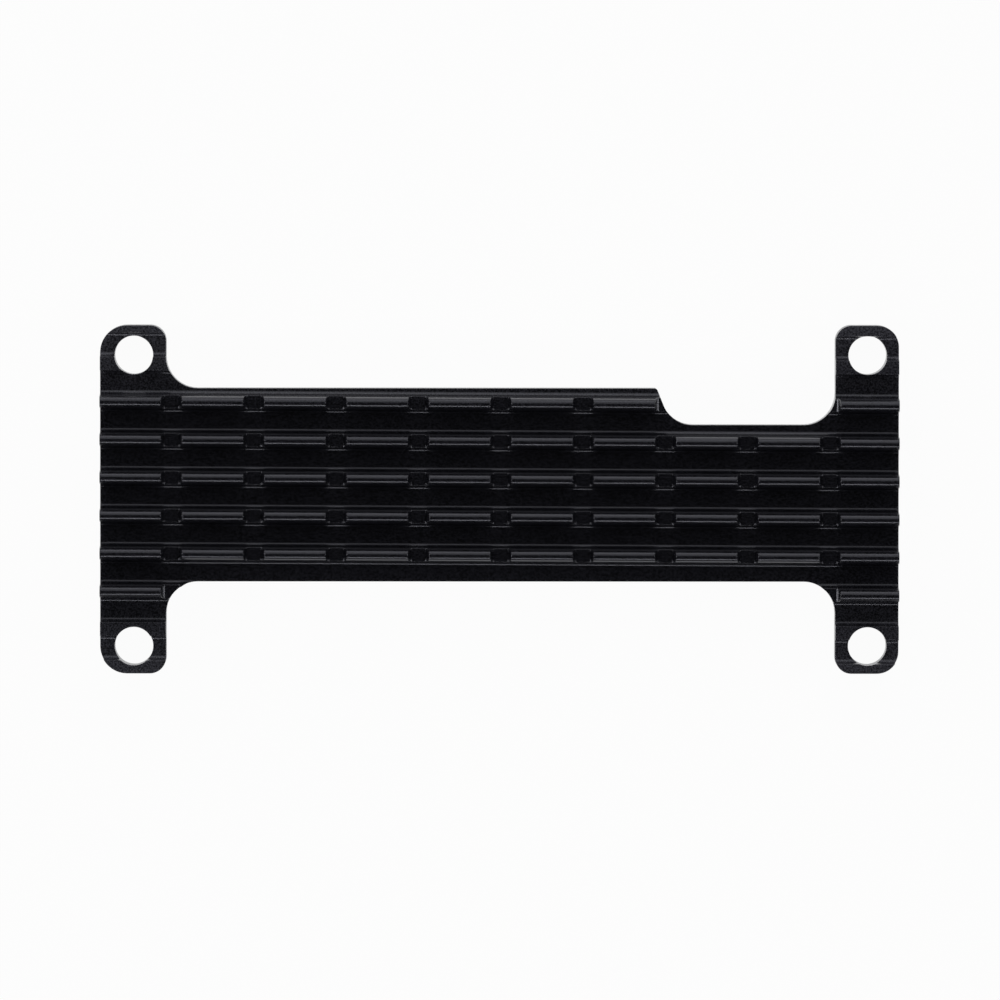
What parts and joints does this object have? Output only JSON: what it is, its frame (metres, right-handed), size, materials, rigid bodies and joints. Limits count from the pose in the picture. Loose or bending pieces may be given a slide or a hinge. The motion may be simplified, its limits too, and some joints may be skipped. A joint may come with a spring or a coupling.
{
  "type": "heatsink plate",
  "caption": "Flat finned aluminium heatsink plate with ears at its corners for screws, an edge recess on each long side and a notch.",
  "frame": {"origin": "on the flat underside, at the centre of the four screw holes", "axes": "+X along the fins, +Y towards the header recess and the notch, +Z out of the fins"},
  "size_m": [0.0632, 0.0276, 0.0039],
  "materials": {
    "black_anodised_aluminium": "black anodised, semi-gloss"
  },
  "bodies": {
    "root": {"heatsink_plate": "black_anodised_aluminium"}
  },
  "joints": []
}
